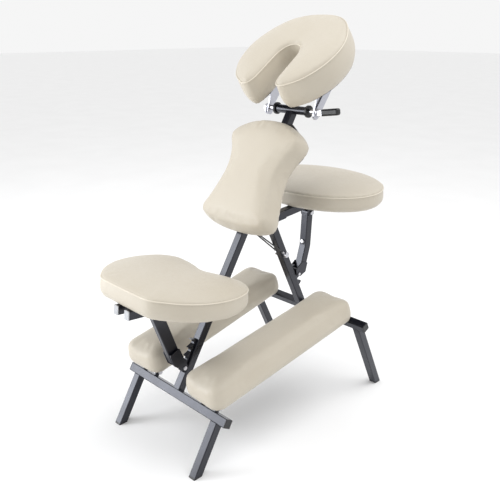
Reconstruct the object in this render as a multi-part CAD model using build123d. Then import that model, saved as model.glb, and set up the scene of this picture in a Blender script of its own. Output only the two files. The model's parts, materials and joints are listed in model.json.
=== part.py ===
from build123d import *
import math
import os

# Kneeling massage chair, millimetres.
# X runs across the chair, +Y is the way the seated person faces, +Z is up.
# The floor is Z = 0 and the origin is the centre of the chair's box on the floor.

# ---- square tube, used nearly everywhere ----
TUBE = 25.4
WALL = 1.6
TUBE_CORNER = 2.5
HALF = TUBE / 2
FIT = 0.05  # radial clearance of a pin that turns in a hole
GAP = 0.5  # side clearance between a part that swings and its ears

# ---- front frame and mast: one welded T that leans forward ----
FRONT_FOOT_Y = -377.8
MAST_LEAN = 31.9
FRONT_LEG_LEAN = 30.8
FRONT_LEG_LENGTH = 167.9  # foot to bar centre
FRONT_BAR = 432.0
FRONT_LEG_X = 177.6
MAST_TOP = 912.0  # bar centre to head tube centre

# ---- rear frame: the strut leans back and is pinned to the mast ----
REAR_FOOT_Y = 383.8
REAR_LEAN = 26.3
REAR_LEG_LENGTH = 288.6
REAR_BAR = 535.0
REAR_LEG_X = 235.3
PIVOT_OFFSET = 32.0  # strut pivot behind the mast's centre line
FOOT_THICK = 5.0

# ---- seat ----
SEAT_TILT = 5.7
SEAT_BACK_Y = -458.8  # rear ends of the rails
RAIL_W = 19.0
RAIL_H = 25.4
RAIL_X = 24.2
RAIL_BACK_Z = 458.0  # rail centre height at the rear ends
SEAT_PAD_T = -2.5  # rear edge of the upholstery along the rails
SEAT_BOARD = 10.5
SEAT_FOAM = 57.0
SEAT_STRUT_W = 19.0
SEAT_STRUT_D = 36.0
SEAT_RACK_PITCH = 25.0
SEAT_RACK_DEPTH = 24.0
SEAT_PIN_U = 79.5  # rack pin along the mast
SEAT_PIN_V = -27.5
SEAT_PIN_R = 6.0

# ---- arm rest ----
ARM_TILT = 5.3
ARM_LINE_Z = 603.3  # centre of the arm tube at ARM_LINE_Y
ARM_LINE_Y = 182.2
ARM_TUBE_END_Y = 412.2
ARM_PAD_Y = 320.2
ARM_PAD_A = 243.0
ARM_PAD_B = 148.0
ARM_BOARD = 10.0
ARM_FOAM = 57.0
ARM_STRUT = 27.0
ARM_RACK_PITCH = 25.0
ARM_RACK_DEPTH = 16.0
ARM_PIN_S = 125.0  # rack pin along the rear strut
ARM_PIN_V = 22.5
ARM_PIN_R = 5.0

# ---- chest rest, in the mast's own frame ----
CHEST_BOARD = 12.0  # screwed flat on the mast's front
CHEST_FOAM = 60.0

# ---- kneeling pads ----
KNEEL_FRONT_X = 136.0
KNEEL_REAR_X = 158.0
KNEEL_W = 156.0
KNEEL_L = 585.0
KNEEL_START_Y = -321.8  # front end of the pads' undersides
KNEEL_START_Z = 181.0
KNEEL_SLOPE = 10.1
KNEEL_BOARD = 12.0
KNEEL_FOAM = 60.0
KNEEL_PIN_U = 26.7  # hinge pin above the front bar's centre, along the mast
KNEEL_EAR_R = 9.0

# ---- head rest ----
HEAD_TILT = 35.5
HEAD_TUBE = 60.0  # half length of the cross tube
HEAD_TUBE_R = 12.7
COLLAR_R = 18.0
SHORT_ARM_X = 90.0  # inner faces of the two pairs of side arms
LONG_ARM_X = 94.3
HEAD_ARM_T = 4.0
HEAD_BOLT_R = 6.0
SPACER_R = 8.0
HEAD_ARM_W = 24.0
FACE_RIDGE = 156.6  # upholstery seam plane above the cross tube, square to the pad
FACE_SIDE = 78.0
FACE_CROWN = 10.0
FACE_BOARD = 10.0
FACE_MID = 151.0  # pad's own origin along its plane from above the cross tube
FACE_X = 6.0  # the pad, held by hook and loop, sits this far off the middle
SHORT_ARM_S = -62.0  # where the side arms meet the base board, along the pad
LONG_ARM_S = 62.0
CAM_X = 108.0
CAM_R = 6.9
CAM_PIN_R = 3.0
LEVER_TILT = 8.0
GRIP_END = 69.0  # from the cam pin

# ---- limit cable ----
CABLE_D = 4.5
CABLE_S = 231.0  # cable bolt along the rear strut
EYE_U = 529.0
EYE_V = 31.0
LUG_SLEEVE_R = 3.2
LUG_T = 3.2


def rad(a):
    return math.radians(a)


def lean_frame(y, z, lean):
    """Frame with its own Z along a tube that leans toward +Y by lean, and its own Y behind the tube."""
    return Location((0, y, z), (-lean, 0, 0))


def point_on(frame, y, z):
    """World (y, z) of a point in the frame's middle plane."""
    p = (frame * Location((0, y, z))).position
    return p.Y, p.Z


def profile(w, d, corner=TUBE_CORNER):
    return RectangleRounded(w, d, corner)


def tube(length, w=TUBE, d=TUBE, wall=WALL):
    """Rectangular tube along Z, from 0 to length."""
    outer = extrude(profile(w, d), length)
    inner = extrude(profile(w - 2 * wall, d - 2 * wall, TUBE_CORNER - wall), length)
    return outer - inner


def bar(length):
    """Square tube along X, centred."""
    return Rot(0, 90, 0) * Pos(0, 0, -length / 2) * tube(length)


def rod_x(radius, x0, x1, y=0.0, z=0.0):
    """Round bar along X."""
    return Pos((x0 + x1) / 2, y, z) * Rot(0, 90, 0) * Cylinder(radius, abs(x1 - x0))


def ring_x(outer, inner, x0, x1, y=0.0, z=0.0):
    return rod_x(outer, x0, x1, y, z) - rod_x(inner, x0 - 1, x1 + 1, y, z)


def hex_x(across, x0, x1, y=0.0, z=0.0):
    """Hexagon head or nut along X."""
    low = min(x0, x1)
    flats = RegularPolygon(across / math.sqrt(3), 6)
    return Pos(low, y, z) * Rot(0, 90, 0) * extrude(flats, abs(x1 - x0))


def plate_x(points, x0, x1, round_by=0.0):
    """Flat plate in the YZ plane from (y, z) points, between two X."""
    face = make_face(Polyline(*[(y, z) for y, z in points], close=True))
    if round_by:
        face = fillet(face.vertices(), round_by)
    low = min(x0, x1)
    placed = Location(Plane(origin=(low, 0, 0), x_dir=(0, 1, 0), z_dir=(1, 0, 0)))
    return placed * extrude(face, abs(x1 - x0))


def link_x(y0, z0, y1, z1, radius, x0, x1):
    """Flat link with round ends, in the YZ plane, between two X."""
    length = math.hypot(y1 - y0, z1 - z0)
    angle = math.degrees(math.atan2(z1 - z0, y1 - y0))
    low = min(x0, x1)
    slot = SlotCenterToCenter(length, 2 * radius)
    middle = Location(Plane(origin=(low, (y0 + y1) / 2, (z0 + z1) / 2), x_dir=(0, 1, 0), z_dir=(1, 0, 0)))
    return middle * Rot(0, 0, angle) * extrude(slot, abs(x1 - x0))


def both_sides(shape):
    """The shape and its mirror image across the middle plane, as separate solids."""
    return [shape, mirror(shape, about=Plane.YZ)]


def bolt_x(radius, x_head, x_nut, y, z, across):
    """Hexagon bolt along X with its nut, as one locked piece."""
    sign = 1 if x_head > x_nut else -1
    shank = rod_x(radius, x_head, x_nut, y, z)
    head = hex_x(across, x_head, x_head + sign * radius * 1.3, y, z)
    nut = hex_x(across, x_nut, x_nut - sign * radius * 1.3, y, z)
    return shank + head + nut


def smooth_face(points):
    """Face inside a closed smooth outline."""
    return make_face(Spline(*points, periodic=True))


def upholstered(face, board, height, top_edge, low_edge):
    """Cushion of the given height whose cover wraps down round the board, which sits flush in its underside."""
    body = extrude(face, height)
    body = fillet(body.faces().sort_by(Axis.Z)[-1].edges(), top_edge)
    body = fillet(body.faces().sort_by(Axis.Z)[0].edges(), low_edge)
    return body - board


def half_outline(points):
    """Full closed outline from the points of the +X half, listed from the front round to the rear."""
    other = [(-x, y) for x, y in reversed(points) if x > 0.01]
    return points + other


def inset(points, by):
    """Outline points pulled toward the outline's middle."""
    mid = sum(y for _, y in points) / len(points)
    out = []
    for x, y in points:
        r = math.hypot(x, y - mid)
        k = (r - by) / r
        out.append((x * k, mid + (y - mid) * k))
    return out


# ---- frames ----
FRONT_BAR_Y = FRONT_FOOT_Y + FRONT_LEG_LENGTH * math.sin(rad(FRONT_LEG_LEAN))
FRONT_BAR_Z = FRONT_LEG_LENGTH * math.cos(rad(FRONT_LEG_LEAN))
REAR_BAR_Y = REAR_FOOT_Y - REAR_LEG_LENGTH * math.sin(rad(REAR_LEAN))
REAR_BAR_Z = REAR_LEG_LENGTH * math.cos(rad(REAR_LEAN))
MAST = lean_frame(FRONT_BAR_Y, FRONT_BAR_Z, MAST_LEAN)
STRUT = lean_frame(REAR_BAR_Y, REAR_BAR_Z, -REAR_LEAN)
SEAT_SLOPE = math.tan(rad(SEAT_TILT))
ARM_SLOPE = math.tan(rad(ARM_TILT))


def mast_v(y, z):
    """Distance of a point behind the mast's centre line."""
    dy, dz = y - FRONT_BAR_Y, z - FRONT_BAR_Z
    return dy * math.cos(rad(MAST_LEAN)) - dz * math.sin(rad(MAST_LEAN))


def mast_u(y, z):
    dy, dz = y - FRONT_BAR_Y, z - FRONT_BAR_Z
    return dy * math.sin(rad(MAST_LEAN)) + dz * math.cos(rad(MAST_LEAN))


# The strut's pivot is where its centre line is PIVOT_OFFSET behind the mast.
_v0 = mast_v(*point_on(STRUT, 0, 0))
_v1 = mast_v(*point_on(STRUT, 0, 1))
PIVOT_S = (PIVOT_OFFSET - _v0) / (_v1 - _v0)
PIVOT_Y, PIVOT_Z = point_on(STRUT, 0, PIVOT_S)
PIVOT_U = mast_u(PIVOT_Y, PIVOT_Z)


def rail_z(y):
    return RAIL_BACK_Z - (y - SEAT_BACK_Y) * SEAT_SLOPE


# The seat's pivot is where the rail line crosses the mast's centre line.
_a0 = mast_v(SEAT_BACK_Y, rail_z(SEAT_BACK_Y))
_a1 = mast_v(SEAT_BACK_Y + 1, rail_z(SEAT_BACK_Y + 1))
SEAT_PIVOT_Y = SEAT_BACK_Y - _a0 / (_a1 - _a0)
SEAT_PIVOT_Z = rail_z(SEAT_PIVOT_Y)
SEAT_PIVOT_U = mast_u(SEAT_PIVOT_Y, SEAT_PIVOT_Z)
SEAT = Location((0, SEAT_BACK_Y, RAIL_BACK_Z), (-SEAT_TILT, 0, 0))
RAIL_L = math.hypot(SEAT_PIVOT_Y - SEAT_BACK_Y, SEAT_PIVOT_Z - RAIL_BACK_Z) + 17.0

# The seat strut hangs from the rails; its top pin and its rack pin.
STRUT_TOP_T = 95.0  # along the rails from their rear ends
SEAT_STRUT_Y, SEAT_STRUT_Z = point_on(SEAT, STRUT_TOP_T, 0)
SEAT_PIN_Y, SEAT_PIN_Z = point_on(MAST, SEAT_PIN_V, SEAT_PIN_U)
SEAT_STRUT_LEAN = 19.95
SEAT_STRUT_L = 203.0
SEAT_STRUT_FRAME = Location((0, SEAT_STRUT_Y, SEAT_STRUT_Z), (180 + SEAT_STRUT_LEAN, 0, 0))


def arm_z(y):
    return ARM_LINE_Z + (y - ARM_LINE_Y) * ARM_SLOPE


# The arm tube is pinned to the rear strut where their centre lines cross.
_s = (ARM_LINE_Z - REAR_BAR_Z) / math.cos(rad(REAR_LEAN))
for _ in range(20):
    _y, _z = point_on(STRUT, 0, _s)
    _s += (arm_z(_y) - _z) * 0.8
ARM_PIVOT_S = _s
ARM_PIVOT_Y, ARM_PIVOT_Z = point_on(STRUT, 0, ARM_PIVOT_S)
ARM = Location((0, ARM_PIVOT_Y, ARM_PIVOT_Z), (ARM_TILT, 0, 0))
ARM_PIN_Y, ARM_PIN_Z = point_on(STRUT, ARM_PIN_V, ARM_PIN_S)
ARM_STRUT_TOP_Y = 274.2
ARM_STRUT_TOP_Z = arm_z(ARM_STRUT_TOP_Y) - HALF - 18.0
ARM_BEND_Y, ARM_BEND_Z = 267.2, 468.0
KNOB_UP = 15.0  # bolt head above the bend
ARM_BEND_R = 60.0
ARM_LOW_Y, ARM_LOW_Z = 243.2, 390.0

KNEEL_TOE = math.degrees(math.atan2(KNEEL_REAR_X - KNEEL_FRONT_X, KNEEL_L))
KNEEL_PIN_Y, KNEEL_PIN_Z = point_on(MAST, 0, KNEEL_PIN_U)

HEAD_Y, HEAD_Z = point_on(MAST, 0, MAST_TOP)
HEAD = Location((0, HEAD_Y, HEAD_Z), (HEAD_TILT, 0, 0))


BASE_Z = FACE_RIDGE - FACE_SIDE - FACE_BOARD  # underside of the head's base board in its frame
SHORT_ARM_T = FACE_MID + SHORT_ARM_S
LONG_ARM_T = FACE_MID + LONG_ARM_S


# ---- outlines of the pads, +X half, from the front middle round to the rear middle ----
SEAT_OUTLINE = [(0, 278), (56, 293), (100, 301), (144, 301), (190, 273), (214, 228), (222, 174), (211, 114), (183, 66),
                (148, 32), (108, 5), (55, 0), (0, 0)]
CHEST_OUTLINE = [(0, 83), (45, 80), (88, 66), (121, 47), (138, 26), (137, 4), (122, -27), (111, -62), (110, -98),
                 (119, -145), (131, -190), (139, -218), (132, -240), (104, -254), (55, -262), (0, -264)]
FACE_OUTLINE = [(0, 104), (57, 98), (100, 80), (133, 50), (158, 12), (174, -28), (179, -70), (172, -118), (152, -162),
                (126, -196), (100, -214), (74, -226), (54, -221), (42, -198), (39, -158), (38, -112), (34, -74),
                (20, -52), (0, -45)]
BASE_OUTLINE = [(0, 92), (53, 86), (93, 69), (122, 42), (146, 7), (161, -32), (165, -72), (159, -115), (141, -154),
                (118, -182), (96, -198), (76, -206), (64, -200), (54, -180), (52, -140), (51, -105), (45, -66),
                (26, -41), (0, -33)]
CHEST_TAB = [(-104, 50), (-40, 91), (40, 91), (104, 50)]  # the back board shows above the chest pad
CHEST_TAB_T = 6.0
CHEST_CENTRE_U = mast_u(52.2, 833.7)


# ---- body: mast_frame ----
def front_frame():
    crossbar = MAST * bar(FRONT_BAR)
    legs = lean_frame(FRONT_BAR_Y, FRONT_BAR_Z, FRONT_LEG_LEAN)
    long_tube = legs * Pos(FRONT_LEG_X, 0, -FRONT_LEG_LENGTH - 30) * tube(FRONT_LEG_LENGTH + 30)
    return crossbar, trimmed_leg(long_tube, MAST), foot(legs, FRONT_LEG_X, FRONT_LEG_LENGTH)


def trimmed_leg(long_tube, frame):
    """Leg tube cut level above its foot and butted to the bar."""
    above = Pos(0, 0, FOOT_THICK + 500) * Box(2000, 3000, 1000)
    bar_space = frame * Pos(0, 0, 200 - HALF) * Box(2000, 400, 400)
    return (long_tube & above) - bar_space


def foot(frame, x, length):
    """Plastic foot: a level sole under the tube's end and a plug inside it."""
    sole_slab = Pos(0, 0, FOOT_THICK / 2) * Box(2000, 3000, FOOT_THICK)
    plug_slab = Pos(0, 0, FOOT_THICK + 12) * Box(2000, 3000, 24)
    outer = frame * Pos(x, 0, -length - 30) * extrude(profile(TUBE, TUBE), 90)
    inner_w = TUBE - 2 * WALL - 0.1
    inner = frame * Pos(x, 0, -length - 30) * extrude(profile(inner_w, inner_w, 0.8), 90)
    return (outer & sole_slab) + (inner & plug_slab)


def end_cap(frame, half_bar):
    """Domed plastic cap in the end of a cross bar."""
    face = Pos(half_bar, 0, 0) * Rot(0, 90, 0) * extrude(profile(TUBE, TUBE), 3.0)
    face = fillet(face.faces().sort_by(Axis.X)[-1].edges(), 1.4)
    inner_w = TUBE - 2 * WALL - 0.1
    plug = Pos(half_bar - 14, 0, 0) * Rot(0, 90, 0) * extrude(profile(inner_w, inner_w, 0.8), 14)
    return frame * (face + plug)


def mast():
    body = Pos(0, 0, HALF) * tube(MAST_TOP - HALF - HEAD_TUBE_R + 3)
    body -= rod_x(HEAD_TUBE_R, -40, 40, 0, MAST_TOP)
    body -= rod_x(5.0, -20, 20, 0, SEAT_PIVOT_U)
    return MAST * body


def rack(depth, pitch, pin_v, pin_r, count, below, above, side, leave):
    """Notched plate on a tube's face; its first notch is at 0 and a pin leaves each along leave (v, u)."""
    inner_v = side * HALF
    outer_v = side * (HALF + depth)
    z0, z1 = -below, (count - 1) * pitch + above
    plate = plate_x([(inner_v, z0), (outer_v, z0 + 6), (outer_v, z1 - 6), (inner_v, z1)], -6, 6)
    for k in range(count):
        z = k * pitch
        plate -= link_x(pin_v, z, pin_v + leave[0] * 60, z + leave[1] * 60, pin_r + 0.6, -10, 10)
        plate -= link_x(pin_v, z, pin_v + side * 20, z, pin_r + 0.6, -10, 10)
    return plate


def leaving(pivot_y, pivot_z, pin_y, pin_z, turn, lean):
    """Direction (v, u) in which a pin starts to move when its strut swings about its top pivot."""
    y, z = pin_y - pivot_y, pin_z - pivot_z
    r = math.hypot(y, z)
    dy, dz = -turn * z / r, turn * y / r
    c, sn = math.cos(rad(lean)), math.sin(rad(lean))
    return dy * c - dz * sn, dy * sn + dz * c


def seat_rack():
    leave = leaving(SEAT_STRUT_Y, SEAT_STRUT_Z, SEAT_PIN_Y, SEAT_PIN_Z, -1, MAST_LEAN)
    plate = rack(SEAT_RACK_DEPTH, SEAT_RACK_PITCH, SEAT_PIN_V, SEAT_PIN_R, 4, 16, 14, -1, leave)
    return MAST * Pos(0, 0, SEAT_PIN_U) * plate


def ear_bracket(v_pin, back_u, front_u):
    """Channel bracket on the back of the mast, with two ears."""
    ear_x0, ear_x1 = HALF + GAP, HALF + GAP + 4
    web = Pos(0, HALF + 1.5, 0) * Box(2 * ear_x1, 3, back_u + front_u)
    ears = []
    for s in (-1, 1):
        ears.append(plate_x([(HALF + 1, -back_u), (v_pin + 13, -15), (v_pin + 13, 15), (HALF + 1, front_u)],
                            s * ear_x0, s * ear_x1, 0))
    return web + ears[0] + ears[1]


def strut_bracket():
    shape = ear_bracket(PIVOT_OFFSET, 28, 28)
    shape -= rod_x(4.0, -40, 40, PIVOT_OFFSET, 0)
    return MAST * Pos(0, 0, PIVOT_U) * shape


def strut_pivot_bolt():
    x = HALF + GAP + 4
    return MAST * bolt_x(4.0, x, -x, PIVOT_OFFSET, PIVOT_U, 13)


def seat_pivot_bolt():
    x = RAIL_X + RAIL_W / 2 + 1.0
    return MAST * bolt_x(5.0, x, -x, 0, SEAT_PIVOT_U, 16)


def cable_eye():
    """Eye screw on the back of the mast; its ring stands in the middle plane."""
    shank_end = EYE_V - 8.5
    shank = Pos(0, (HALF + shank_end) / 2, EYE_U) * Rot(90, 0, 0) * Cylinder(3.0, shank_end - HALF)
    nut = Pos(0, HALF, EYE_U) * Rot(-90, 0, 0) * extrude(RegularPolygon(6.5, 6), 4)
    ring = Pos(0, EYE_V, EYE_U) * Rot(0, 90, 0) * Torus(7.5, 2.25)
    return MAST * (shank + nut + ring)


def head_tube():
    tube_body = ring_x(HEAD_TUBE_R, HEAD_BOLT_R + 4.0, -HEAD_TUBE, HEAD_TUBE)
    return MAST * Pos(0, 0, MAST_TOP) * tube_body


def head_collars():
    """Plastic end collars of the cross tube, which the head rest's bolt turns in."""
    one = ring_x(COLLAR_R, HEAD_BOLT_R + FIT, HEAD_TUBE, HEAD_TUBE + 6)
    one += ring_x(HEAD_BOLT_R + 3.9, HEAD_BOLT_R + FIT, HEAD_TUBE - 16, HEAD_TUBE)
    return [MAST * Pos(0, 0, MAST_TOP) * s for s in both_sides(one)]


def chest_face():
    """Plane of the chest pad on the mast's front: its Y up along the mast, its Z out of the pad."""
    origin = (MAST * Location((0, -HALF, CHEST_CENTRE_U))).position
    out = (0, -math.cos(rad(MAST_LEAN)), math.sin(rad(MAST_LEAN)))
    return Location(Plane(origin=origin, x_dir=(1, 0, 0), z_dir=out))


def chest_rest():
    place = chest_face()
    outline = half_outline(CHEST_OUTLINE)
    board = extrude(smooth_face(inset(outline, 15)), CHEST_BOARD)
    cushion = upholstered(smooth_face(outline), board, CHEST_BOARD + CHEST_FOAM, 16, 9)
    tab = extrude(make_face(Polyline(*CHEST_TAB, close=True)), CHEST_TAB_T)
    cushion -= tab
    return place * (board + tab), place * cushion


# ---- body: rear_frame ----
def rear_strut():
    body = Pos(0, 0, HALF) * tube(PIVOT_S)
    keep = Pos(0, 0, (PIVOT_S + HALF) / 2) * Box(60, 60, PIVOT_S - HALF)
    keep += rod_x(HALF, -30, 30, 0, PIVOT_S)
    body &= keep
    body -= rod_x(4.0 + FIT, -20, 20, 0, PIVOT_S)
    body -= rod_x(5.0, -20, 20, 0, CABLE_S)
    body -= rod_x(4.0, -20, 20, 0, ARM_PIVOT_S)
    return STRUT * body


def rear_frame():
    crossbar = STRUT * bar(REAR_BAR)
    long_tube = STRUT * Pos(REAR_LEG_X, 0, -REAR_LEG_LENGTH - 30) * tube(REAR_LEG_LENGTH + 30)
    return crossbar, trimmed_leg(long_tube, STRUT), foot(STRUT, REAR_LEG_X, REAR_LEG_LENGTH)


def arm_rack():
    leave = leaving(ARM_STRUT_TOP_Y, ARM_STRUT_TOP_Z, ARM_PIN_Y, ARM_PIN_Z, 1, -REAR_LEAN)
    plate = rack(ARM_RACK_DEPTH, ARM_RACK_PITCH, ARM_PIN_V, ARM_PIN_R, 3, 24, 14, 1, leave)
    return STRUT * Pos(0, 0, ARM_PIN_S - ARM_RACK_PITCH) * plate


def arm_pivot_bolt():
    x = HALF + GAP + 4 + 0.3
    return STRUT * bolt_x(4.0, x, -x, 0, ARM_PIVOT_S, 13)


LUG_X0, LUG_X1 = HALF + 0.2, HALF + 0.2 + LUG_T
CABLE_X = HALF + 0.4 + LUG_SLEEVE_R  # cable centre beside the strut


def cable_bolt():
    x = LUG_X1 + 0.1
    return STRUT * bolt_x(5.0, x, -x, 0, CABLE_S, 17)


def cable_points():
    """Route of the cable: lug, both sides of the eye's ring, other lug, in world coordinates."""
    by, bz = point_on(STRUT, 0, CABLE_S)
    ey, ez = point_on(MAST, EYE_V + 7.5, EYE_U)
    run = math.hypot(by - ey, bz - ez)
    uy, uz = (ey - by) / run, (ez - bz) / run
    start = (CABLE_X, by + uy * 22, bz + uz * 22)
    turn = (CABLE_TURN, ey + uy * CABLE_TURN, ez + uz * CABLE_TURN)
    return start, turn, (by, bz), (uy, uz)


CABLE_TURN = 5.2  # half width of the loop round the ring's wire


def limit_cable():
    start, turn, _, _ = cable_points()
    pts = [start, turn, (-turn[0], turn[1], turn[2]), (-start[0], start[1], start[2])]
    path = FilletPolyline(*pts, radius=CABLE_TURN * 0.93)
    heading = Vector(*pts[1]) - Vector(*pts[0])
    section = Plane(origin=pts[0], z_dir=heading) * Circle(CABLE_D / 2)
    cable = sweep(section, path=path)
    print("cable length", round(path.length, 1), "volume ratio",
          round(cable.volume / (path.length * math.pi * CABLE_D**2 / 4), 4))
    return cable


def cable_lugs():
    """Pressed eye lugs with crimp sleeves, one on each side of the strut."""
    start, turn, (by, bz), (uy, uz) = cable_points()
    lug = ring_x(8.5, 5.0, LUG_X0, LUG_X1, by, bz)
    tongue = link_x(by + uy * 8, bz + uz * 8, by + uy * 16, bz + uz * 16, 3.6, LUG_X0, LUG_X1)
    tongue -= rod_x(5.0, 0, 40, by, bz)
    heading = (Vector(*turn) - Vector(*start)).normalized()
    sleeve_start = Vector(*start) - heading * 9
    sleeve = Location(Plane(origin=sleeve_start, z_dir=heading)) * Cylinder(
        LUG_SLEEVE_R, 9, align=(Align.CENTER, Align.CENTER, Align.MIN))
    return both_sides(lug + tongue + sleeve)


# ---- body: seat ----
def seat_rail(side):
    body = Rot(-90, 0, 0) * tube(RAIL_L, RAIL_W, RAIL_H)
    body = Pos(side * RAIL_X, 0, 0) * body
    body -= rod_x(5.0 + FIT, -60, 60, RAIL_L - 17.0, 0)
    body -= rod_x(5.0, -60, 60, STRUT_TOP_T, 0)
    return SEAT * body


def rail_plug(x, t, toward):
    """Plastic plug in a rail's end, with a thin face outside."""
    w, h = RAIL_W - 2 * WALL - 0.1, RAIL_H - 2 * WALL - 0.1
    face = Rot(-90, 0, 0) * extrude(profile(RAIL_W, RAIL_H), 2.5)
    plug = Rot(-90, 0, 0) * Pos(0, 0, 2.5) * extrude(profile(w, h, 0.8), 12)
    shape = face + plug
    if toward < 0:
        shape = Pos(0, 2.5, 0) * Rot(0, 0, 180) * shape
        return SEAT * Pos(x, t, 0) * shape
    return SEAT * Pos(x, t - 2.5, 0) * shape


def seat_board_and_cushion():
    outline = half_outline(SEAT_OUTLINE)
    top = RAIL_H / 2
    board = extrude(smooth_face(inset(outline, 18)), SEAT_BOARD)
    cushion = upholstered(smooth_face(outline), board, SEAT_BOARD + SEAT_FOAM, 18, 10)
    place = SEAT * Pos(0, SEAT_PAD_T, top)
    return place * board, place * cushion


def seat_strut_pin():
    """Hinge bolt of the seat strut, locked in both rails."""
    x = RAIL_X + RAIL_W / 2
    return SEAT * bolt_x(5.0, x, -x, STRUT_TOP_T, 0, 16)


# ---- body: seat_strut ----
def seat_strut():
    """Flat tube hanging from the rails, rounded at the top."""
    body = Pos(0, 0, -12.2) * tube(SEAT_STRUT_L + 12.2, SEAT_STRUT_W, SEAT_STRUT_D)
    keep = Pos(0, 0, SEAT_STRUT_L / 2) * Box(60, 60, SEAT_STRUT_L)
    body &= keep + rod_x(12.2, -30, 30)
    body -= rod_x(5.0 + FIT, -20, 20)
    return SEAT_STRUT_FRAME * body


def to_local(frame, y, z):
    p = (frame.inverse() * Location((0, y, z))).position
    return p.Y, p.Z


def seat_fork():
    """Two cheeks on the strut's lower end that straddle the mast and hold the rack pin."""
    end_y, end_z = to_local(SEAT_STRUT_FRAME, SEAT_PIN_Y, SEAT_PIN_Z)
    low = SEAT_STRUT_L
    side = 1 if end_y > 0 else -1
    cheek_points = [(-side * SEAT_STRUT_D / 2, low - 34), (-side * SEAT_STRUT_D / 2, low + 6),
                    (end_y - side * 4, end_z + 12), (end_y + side * 11, end_z + 8), (end_y + side * 11, end_z - 12),
                    (side * SEAT_STRUT_D / 2, low - 34)]
    x0 = HALF + GAP
    cheeks = []
    for s in (-1, 1):
        cheek = plate_x(cheek_points, s * x0, s * (x0 + 3.5), 3.0)
        cheek -= rod_x(SEAT_PIN_R, -40, 40, end_y, end_z)
        cheeks.append(SEAT_STRUT_FRAME * cheek)
    filler_w = x0 - SEAT_STRUT_W / 2
    fillers = []
    for s in (-1, 1):
        block = Pos(s * (SEAT_STRUT_W / 2 + filler_w / 2), 0, low - 16) * Box(filler_w, 30, 32)
        fillers.append(SEAT_STRUT_FRAME * block)
    return [cheeks[0] + fillers[0], cheeks[1] + fillers[1]]


def seat_rack_pin():
    x = HALF + GAP + 3.5
    pin = rod_x(SEAT_PIN_R, -x - 3, x + 3, SEAT_PIN_Y, SEAT_PIN_Z)
    return pin


# ---- body: arm_rest ----
ARM_TUBE_T0 = 22.0  # the tube starts clear of the strut


def arm_tube():
    length = (ARM_TUBE_END_Y - ARM_PIVOT_Y) / math.cos(rad(ARM_TILT)) - ARM_TUBE_T0
    return ARM * Pos(0, ARM_TUBE_T0, 0) * Rot(-90, 0, 0) * tube(length)


def arm_hinge_ears():
    """Two plates on the arm tube's sides that straddle the rear strut."""
    x0, x1 = HALF, HALF + 4
    out = []
    for s in (-1, 1):
        ear = link_x(0, 0, ARM_TUBE_T0 + 34, 0, 12.4, s * (x0 + GAP), s * (x1 + GAP))
        ear -= rod_x(4.0 + FIT, -60, 60, 0, 0)
        pad = plate_x([(ARM_TUBE_T0 + 4, -10), (ARM_TUBE_T0 + 34, -10), (ARM_TUBE_T0 + 34, 10),
                       (ARM_TUBE_T0 + 4, 10)], s * x0, s * (x0 + GAP))
        out.append(ARM * (ear + pad))
    return out


def arm_board_and_cushion():
    t_mid = (ARM_PAD_Y - ARM_PIVOT_Y) / math.cos(rad(ARM_TILT))
    board = extrude(Ellipse(ARM_PAD_A - 20, ARM_PAD_B - 20), ARM_BOARD)
    cushion = upholstered(Ellipse(ARM_PAD_A, ARM_PAD_B), board, ARM_BOARD + ARM_FOAM, 18, 14)
    place = ARM * Pos(0, t_mid, HALF)
    return place * board, place * cushion


def arm_strut_ears():
    """Two ears under the arm tube for the arm strut's top pin."""
    ty, tz = to_local(ARM, ARM_STRUT_TOP_Y, ARM_STRUT_TOP_Z)
    x0 = ARM_STRUT / 2 + GAP
    out = []
    for s in (-1, 1):
        ear = plate_x([(ty - 13, -HALF + 14), (ty + 13, -HALF + 14), (ty + 11, tz - 9), (ty - 11, tz - 9)],
                      s * x0, s * (x0 + 3.5), 3.0)
        ear += plate_x([(ty - 12, -HALF + 2), (ty + 12, -HALF + 2), (ty + 12, -HALF + 14), (ty - 12, -HALF + 14)],
                       s * HALF, s * x0)
        ear -= rod_x(4.0, -60, 60, ty, tz)
        out.append(ARM * ear)
    return out


def arm_strut_pin():
    x = ARM_STRUT / 2 + GAP + 3.5
    return bolt_x(4.0, x, -x, ARM_STRUT_TOP_Y, ARM_STRUT_TOP_Z, 13)


# ---- body: arm_strut ----
def bent_bar(points, size, corner):
    """Square bar swept along a path in the middle plane with one bend."""
    path = FilletPolyline(*points, radius=ARM_BEND_R)
    section = Plane(origin=path @ 0, x_dir=(1, 0, 0), z_dir=path % 0) * profile(size, size, corner)
    return sweep(section, path=path)


def arm_strut():
    """Square tube with one bend, hung under the arm tube and rounded at its top."""
    half = ARM_STRUT / 2
    rise = math.hypot(ARM_STRUT_TOP_Y - ARM_BEND_Y, ARM_STRUT_TOP_Z - ARM_BEND_Z)
    uy, uz = (ARM_STRUT_TOP_Y - ARM_BEND_Y) / rise, (ARM_STRUT_TOP_Z - ARM_BEND_Z) / rise
    points = [(0, ARM_LOW_Y, ARM_LOW_Z), (0, ARM_BEND_Y, ARM_BEND_Z),
              (0, ARM_STRUT_TOP_Y + uy * half, ARM_STRUT_TOP_Z + uz * half)]
    body = bent_bar(points, ARM_STRUT, TUBE_CORNER)
    body -= bent_bar(points, ARM_STRUT - 2 * WALL, TUBE_CORNER - WALL)
    lean = math.degrees(math.atan2(uy, uz))
    keep = lean_frame(ARM_STRUT_TOP_Y, ARM_STRUT_TOP_Z, lean) * Pos(0, 0, -150) * Box(80, 200, 300)
    keep += rod_x(half, -30, 30, ARM_STRUT_TOP_Y, ARM_STRUT_TOP_Z)
    body &= keep
    return body - rod_x(4.0 + FIT, -30, 30, ARM_STRUT_TOP_Y, ARM_STRUT_TOP_Z)


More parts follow.
